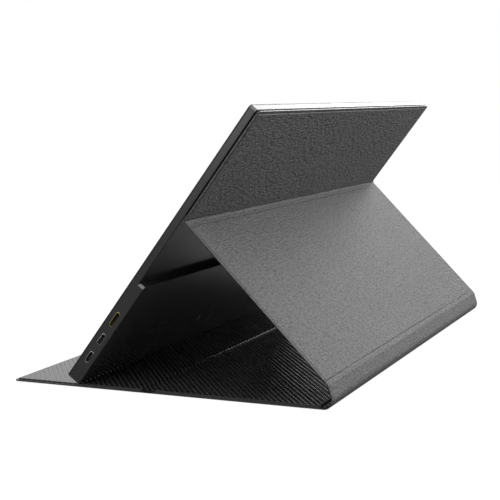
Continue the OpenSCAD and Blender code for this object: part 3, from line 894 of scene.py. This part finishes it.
def unfolded(co):
    """Across and along the flat cover, for a point of it in metres."""
    x, y, z = (c * 1000 for c in co)
    s = (y - FOOT_Y) * CU + (z - FOOT_Z) * SU
    t = -(y - FOOT_Y) * SU + (z - FOOT_Z) * CU
    if s > CREASE_S and -0.5 < t - UPPER_Z < COVER_T + 0.5:
        return x, UPPER_V + s - CREASE_S
    dy = y - CREASE_Y
    dz = z - CREASE_Z
    if math.hypot(dy, dz) < CREASE_OUT + RIM_T + 0.6:
        a = math.atan2(dz, dy) % (2 * math.pi)
        if math.pi / 2 + LEAN <= a <= 1.5 * math.pi - LEG_SLOPE:
            return x, CREASE_V + (1.5 * math.pi - LEG_SLOPE - a) * (CREASE_OUT + SKIN_T)
    along = -(y - KNEE_Y) * CL + (z - KNEE_Z) * SL
    deep = -(y - KNEE_Y) * SL - (z - KNEE_Z) * CL
    if along > KNEE_IN - 0.01 and -0.5 < deep < COVER_T + 0.5:
        return x, LEG_V + along - KNEE_IN
    if z > SPINE_BEND_R * (1 + CS) - 1 and y > KNEE_CY:
        along = -(y - ROLL_Y - SPINE_BEND_R * SS) * CS + (z - SPINE_BEND_R * (1 + CS)) * SS
        if along < SPINE_LEN - KNEE_IN + 0.01:
            return x, SPINE_V + max(along, 0.0)
        a = math.atan2(z - KNEE_CZ, y - KNEE_CY)
        return x, KNEE_V + (a - math.pi / 2 + SPINE_SLOPE) * (LEG_BEND_R - SKIN_T)
    if y > ROLL_Y:
        a = math.atan2(z - SPINE_BEND_R, y - ROLL_Y)
        return x, ROLL_V + (a + math.pi / 2) * (SPINE_BEND_R - SKIN_T)
    return x, y - FRONT_Y


def add_uv(obj):
    """UV in metres along the unfolded cover, so that grain is true to size in every pose."""
    layer = obj.data.uv_layers.new(name="UVMap")
    flat = [unfolded(v.co) for v in obj.data.vertices]
    for loop in obj.data.loops:
        x, v = flat[loop.vertex_index]
        layer.data[loop.index].uv = ((x + 200) / 1000, v / 1000)


def skin_strip(name, node, slot, vs, blend, body=None, wave=None):
    """Outer leather of a fold, as a closed strip that follows the cover through vs."""
    cols = 90 if wave else 1
    rings = []
    for v in vs:
        ring = [(HALF_W - d, v, z) for d, z in SKIN_EDGE]
        for i in range(1, cols):
            x = (HALF_W - EDGE_IN) * (1 - 2 * i / cols)
            ring.append((x, v, SKIN_LO + (wave(x, v) if wave else 0.0)))
        ring += [(-HALF_W + d, v, z) for d, z in reversed(SKIN_EDGE)]
        rings.append(ring)
    bm = bmesh.new()
    loft(bm, rings, on_cover)
    return cover_piece(bm, name, body, node, slot, blend)


def clip(poly, axis, limit, keep_above):
    """Cuts a polygon of (x, v, h) at x or v = limit."""
    out = []
    for i, p in enumerate(poly):
        q = poly[(i + 1) % len(poly)]
        inside = p[axis] >= limit - 1e-9 if keep_above else p[axis] <= limit + 1e-9
        inside_q = q[axis] >= limit - 1e-9 if keep_above else q[axis] <= limit + 1e-9
        if inside:
            out.append(p)
        if inside != inside_q and abs(q[axis] - p[axis]) > 1e-12:
            f = (limit - p[axis]) / (q[axis] - p[axis])
            out.append(tuple(p[k] + (q[k] - p[k]) * f for k in range(3)))
    return out


# One rib and its groove across the pitch, as (place, height).
RIB_SHAPE = ((0.0, 0.0), (1.9, 0.0), (2.12, -0.03), (2.3, -0.1), (2.42, -0.36), (2.66, -0.36),
             (2.74, -0.04), (2.84, 0.0), (3.1, 0.0))


def rib_faces(bm, x0, x1, bands, top, place):
    """Ribbed top of a lining: slanting flat ribs and narrow grooves, cut to x0..x1 and each band of v."""
    ca = math.cos(RIB_ANGLE)
    sa = math.sin(RIB_ANGLE)
    v0, v1 = bands[0], bands[-1]
    spans = [-x * sa + v * ca for x in (x0, x1) for v in (v0, v1)]
    first = math.floor(min(spans) / RIB_PITCH) - 1
    last = math.ceil(max(spans) / RIB_PITCH) + 1
    for k in range(first, last):
        for (u0, h0), (u1, h1) in zip(RIB_SHAPE, RIB_SHAPE[1:]):
            a = k * RIB_PITCH + u0
            b = k * RIB_PITCH + u1
            far = 900.0
            quad = [(w * ca - u * sa, w * sa + u * ca, top + h)
                    for u, h, w in ((a, h0, -far), (a, h0, far), (b, h1, far), (b, h1, -far))]
            strip = clip(quad, 0, x0, True)
            strip = clip(strip, 0, x1, False) if len(strip) > 2 else []
            for lo, hi in zip(bands, bands[1:]):
                piece = clip(strip, 1, lo, True) if len(strip) > 2 else []
                piece = clip(piece, 1, hi, False) if len(piece) > 2 else []
                if len(piece) > 2:
                    seen = []
                    for p in piece:
                        if not seen or max(abs(p[i] - seen[-1][i]) for i in range(3)) > 1e-6:
                            seen.append(p)
                    if len(seen) > 1 and max(abs(seen[0][i] - seen[-1][i]) for i in range(3)) < 1e-6:
                        seen.pop()
                    if len(seen) > 2:
                        bm.faces.new([bm.verts.new(mm(place(*p))) for p in seen])


def rib_pad(name, body, x1, v0, v1, top, low, place):
    """A ribbed pad with a small bevel and side walls all round."""
    bevel = PAD_BEVEL
    bm = bmesh.new()

    def plain(x, v, h):
        return (x, v, h)

    rib_faces(bm, -x1 + bevel, x1 - bevel, [v0 + bevel, v1 - bevel], top, plain)
    bmesh.ops.remove_doubles(bm, verts=bm.verts, dist=0.000002)
    edges = [e for e in bm.edges if len(e.link_faces) == 1]

    def out(co, by):
        x, v, h = (c * 1000 for c in co)
        if x > x1 - bevel - 0.01:
            x += by
        if x < -x1 + bevel + 0.01:
            x -= by
        if v > v1 - bevel - 0.01:
            v += by
        if v < v0 + bevel + 0.01:
            v -= by
        return x, v, h

    grown = bmesh.ops.extrude_edge_only(bm, edges=edges)["geom"]
    for vert in (g for g in grown if isinstance(g, bmesh.types.BMVert)):
        x, v, h = out(vert.co, bevel)
        vert.co = mm((x, v, h - bevel))
    edges = [g for g in grown if isinstance(g, bmesh.types.BMEdge) and len(g.link_faces) == 1]
    grown = bmesh.ops.extrude_edge_only(bm, edges=edges)["geom"]
    for vert in (g for g in grown if isinstance(g, bmesh.types.BMVert)):
        vert.co.z = low / 1000
    for vert in bm.verts:
        vert.co = mm(place(*(c * 1000 for c in vert.co)))
    made = finish_mesh(bm, name, MATERIALS["lining"], 30, 0.000002)
    add_uv(made)
    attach(made, body)
    return made


def lining_rim(name, body, node, v0, v1, e0, e1, r0=0.0, r1=0.0, free0=False, free1=False):
    """The flat rim of a panel's lining, up to the wall of its pad."""
    rings = []
    for inset, z in ((0.0, SKIN_T), (0.0, 1.0), (0.04, 1.1), (0.12, 1.17), (EDGE_IN, RIM_T)):
        a = inset if free0 else 0.0
        b = inset if free1 else 0.0
        ring = rounded(HALF_W - inset, v0 + a, v1 - b, max(r0 - inset, 0.0), max(r1 - inset, 0.0))
        rings.append([(x, y, z) for x, y in ring])
    for grow, z in ((-0.1, RIM_T), (0.1, RIM_T - 0.08)):
        ring = rounded(HALF_W - BORDER_W - grow, v0 + e0 + grow, v1 - e1 - grow, 0.3, 0.3)
        rings.append([(x, y, z) for x, y in ring])
    bm = bmesh.new()
    loft(bm, rings, on_cover)
    return cover_piece(bm, name, body, node, "lining")


PAD_X = HALF_W - BORDER_W
PAD_END = GROOVE_W / 2 - GROOVE_HALF
# Each panel's name, body, leather, v0 and v1, borders, corner radii, and which ends are free edges.
panels = (
    ("base_front", "base_front", "leather", 0.0, GROOVE_D - GROOVE_HALF,
     BORDER_W, PAD_END, COVER_R, 0.0, True, False),
    ("base_rear", "base_rear", "leather", GROOVE_D + GROOVE_HALF, ROLL_V - WEB,
     PAD_END, 2.0, 0.0, 0.0, False, False),
    ("leg", "leg", "leather_soft", LEG_V + WEB, CREASE_V - WEB,
     1.6, 1.6, 0.0, 0.0, False, False),
    ("upper", "monitor", "leather", UPPER_V + WEB, UPPER_V + MONITOR_H - CREASE_S,
     1.4, BORDER_W, 0.0, COVER_R, False, True),
)
for part, body, slot, v0, v1, e0, e1, r0, r1, free0, free1 in panels:
    skin_panel(part + "_outer", body, part + "_skin", slot, v0, v1, e0, e1, r0, r1, free0, free1)
    lining_rim(part + "_rim", body, part + "_lining", v0, v1, e0, e1, r0, r1, free0, free1)
    if part == "upper":
        continue
    rib_pad(part + "_ribs", body, PAD_X, v0 + e0, v1 - e1, COVER_T, RIM_T - 0.1, on_cover)


def upper_inner():
    """Plain lining face against the monitor's back."""
    v0 = UPPER_V + WEB + 1.4
    v1 = UPPER_V + MONITOR_H - CREASE_S - BORDER_W
    rings = []
    for inset, z in ((0.0, RIM_T - 0.1), (0.0, COVER_T - 0.16), (0.16, COVER_T)):
        ring = rounded(PAD_X - inset, v0 + inset, v1 - inset, 0.5, 0.5)
        rings.append([(x, y, z) for x, y in ring])
    bm = bmesh.new()
    loft(bm, rings, on_cover)
    cover_piece(bm, "upper_pad", "monitor", None, "lining")


upper_inner()


def frange(a, b, n):
    """Evenly spaced values from a to b."""
    return [a + (b - a) * i / n for i in range(n + 1)]


def crease_wave(x, v):
    """The irregular pinch of the leather along the inside of the crease."""
    mid = (CREASE_V + UPPER_V) / 2 + 0.7 * noise.noise(Vector((x * 0.05, 3.1, 0.0)))
    d = (v - mid) / 0.8
    return 0.16 * math.exp(-d * d) + 0.06 * noise.noise(Vector((x * 0.25, v * 0.5, 1.7)))


# Spine: a stiff strip between the two lower folds.
def make_spine():
    """Leather and ribbed lining of the strip between roll and knee."""
    v0 = SPINE_V + WEB
    v1 = KNEE_V - WEB
    skin_strip("spine_outer", "spine_skin", "leather_soft", frange(v0, v1, 4), None, "spine")
    bm = bmesh.new()
    top = RIM_T + RIB_RAISE
    rib_faces(bm, -HALF_W + 0.3, HALF_W - 0.3, frange(v0, v1, 1), top, on_cover)
    bmesh.ops.remove_doubles(bm, verts=bm.verts, dist=0.000002)
    made = finish_mesh(bm, "spine_ribs", MATERIALS["lining"], 30, 0.000002)
    add_uv(made)
    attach(made, "spine")
    section = ((HALF_W, SKIN_T), (HALF_W, RIM_T + 0.2), (HALF_W - 0.3, top - 0.32),
               (-HALF_W + 0.3, top - 0.32), (-HALF_W, RIM_T + 0.2), (-HALF_W, SKIN_T))
    rings = [[(x, v, h) for x, h in section] for v in (v0, v1)]
    bm = bmesh.new()
    loft(bm, rings, on_cover)
    cover_piece(bm, "spine_inner", "spine", "spine_lining", "lining")


make_spine()


def lining_strip(name, vs, blend):
    """Ribbed lining through a fold, with a closed body under the ribs."""
    bm = bmesh.new()
    rib_faces(bm, -HALF_W + EDGE_IN, HALF_W - EDGE_IN, vs, RIM_T, on_cover)
    bmesh.ops.remove_doubles(bm, verts=bm.verts, dist=0.000002)
    deep = RIM_T - 0.31
    half = ((HALF_W, SKIN_T), (HALF_W, RIM_T - 0.1), (HALF_W - EDGE_IN, RIM_T),
            (HALF_W - EDGE_IN - 0.002, deep))
    section = half + tuple((-x, h) for x, h in reversed(half))
    rings = [[(x, v, h) for x, h in section] for v in vs]
    loft(bm, rings, on_cover)
    return cover_piece(bm, name, None, None, "lining", blend)


# Each fold's name, node, leather, v0 and v1, count of rings, its two bodies and where each takes hold.
folds = (
    ("groove", "groove_leather", "leather", GROOVE_D - GROOVE_HALF, GROOVE_D + GROOVE_HALF, 8,
     "base_rear", "base_front", on_cover(0, GROOVE_D + 2.5, 0.7), on_cover(0, GROOVE_D - 2.5, 0.7)),
    ("roll", "roll_leather", "leather_soft", ROLL_V - WEB, SPINE_V + WEB, 18, "base_rear", "spine",
     on_cover(0, ROLL_V, 0.7), on_cover(0, SPINE_V, 0.7)),
    ("knee", "knee_leather", "leather_soft", KNEE_V - WEB, LEG_V + WEB, 8, "spine", "leg",
     on_cover(0, KNEE_V, 0.7), on_cover(0, LEG_V, 0.7)),
    ("crease", "crease_leather", "leather_soft", CREASE_V - WEB, UPPER_V + WEB, 16, "leg", "monitor",
     on_cover(0, CREASE_V, 0.7), on_cover(0, UPPER_V, 0.7)),
)
for part, node, slot, v0, v1, count, a, b, start, end in folds:
    vs = frange(v0, v1, count)
    wave = crease_wave if part == "crease" else None
    skin_strip(part + "_outer", node, slot, vs, (a, b, start, end), wave=wave)
    lining_strip(part + "_inner", vs, (a, b, start, end))


# Floor, light and world.
def seen_directly(tree):
    """Two outputs: 1 for camera and transmission rays, and 1 for glossy rays."""
    path = tree.nodes.new("ShaderNodeLightPath")
    seen = tree.nodes.new("ShaderNodeMath")
    seen.operation = "MAXIMUM"
    tree.links.new(path.outputs["Is Camera Ray"], seen.inputs[0])
    tree.links.new(path.outputs["Is Transmission Ray"], seen.inputs[1])
    return seen.outputs[0], path.outputs["Is Glossy Ray"]


def make_stage():
    """Floor that keeps the object's shadow."""
    bpy.ops.mesh.primitive_plane_add(size=16, location=(0, 0, -0.0002))
    floor = bpy.context.object
    floor.name = "floor"
    mat = bpy.data.materials.new("floor_white")
    mat.use_nodes = True
    nodes = mat.node_tree.nodes
    links = mat.node_tree.links
    nodes.clear()
    out = nodes.new("ShaderNodeOutputMaterial")
    shades = []
    for albedo, glow in ((0.5, 0.0), (0.14, 0.945), (0.1, 0.03)):
        diffuse = nodes.new("ShaderNodeBsdfDiffuse")
        diffuse.inputs["Color"].default_value = (albedo, albedo, albedo, 1)
        emit = nodes.new("ShaderNodeEmission")
        emit.inputs["Strength"].default_value = glow
        add = nodes.new("ShaderNodeAddShader")
        links.new(diffuse.outputs[0], add.inputs[0])
        links.new(emit.outputs[0], add.inputs[1])
        shades.append(add.outputs[0])
    camera_ray, glossy_ray = seen_directly(mat.node_tree)
    last = shades[0]
    for ray, shade in ((glossy_ray, shades[2]), (camera_ray, shades[1])):
        mix = nodes.new("ShaderNodeMixShader")
        links.new(ray, mix.inputs[0])
        links.new(last, mix.inputs[1])
        links.new(shade, mix.inputs[2])
        last = mix.outputs[0]
    links.new(last, out.inputs["Surface"])
    floor.data.materials.append(mat)
    world = bpy.data.worlds.new("studio")
    bpy.context.scene.world = world
    world.use_nodes = True
    nodes = world.node_tree.nodes
    links = world.node_tree.links
    nodes.clear()
    out = nodes.new("ShaderNodeOutputWorld")
    last = None
    camera_ray, glossy_ray = seen_directly(world.node_tree)
    for ray, strength in ((None, 0.42), (glossy_ray, 1.0), (camera_ray, 1.0)):
        shade = nodes.new("ShaderNodeBackground")
        shade.inputs["Color"].default_value = (1, 1, 1, 1)
        shade.inputs["Strength"].default_value = strength
        if ray is None:
            last = shade.outputs[0]
            continue
        mix = nodes.new("ShaderNodeMixShader")
        links.new(ray, mix.inputs[0])
        links.new(last, mix.inputs[1])
        links.new(shade.outputs[0], mix.inputs[2])
        last = mix.outputs[0]
    links.new(last, out.inputs["Surface"])


def lamp(name, at, aim, size, power):
    """One area lamp aimed at a point."""
    data = bpy.data.lights.new(name, "AREA")
    data.shape = "RECTANGLE"
    data.size = size[0]
    data.size_y = size[1]
    data.energy = power
    obj = bpy.data.objects.new(name, data)
    bpy.context.scene.collection.objects.link(obj)
    obj.location = at
    obj.rotation_euler = (Vector(aim) - Vector(at)).to_track_quat("-Z", "Y").to_euler()
    return obj


make_stage()
lamp("overhead", (0.6, 0.6, 1.5), (0, 0.03, 0.05), (0.85, 0.8), 8.5)
lamp("far_side", (-1.35, -0.053, 0.643), (0, 0.06, 0.15), (0.6, 0.5), 4.2)
lamp("near_side", (1.7, -0.68, 0.32), (0, 0.0, 0.1), (0.9, 0.5), 2.8)
lamp("rear", (-0.75, 0.95, 0.5), (0, 0.05, 0.1), (0.6, 0.6), 9)

bpy.context.scene.view_settings.view_transform = "Standard"
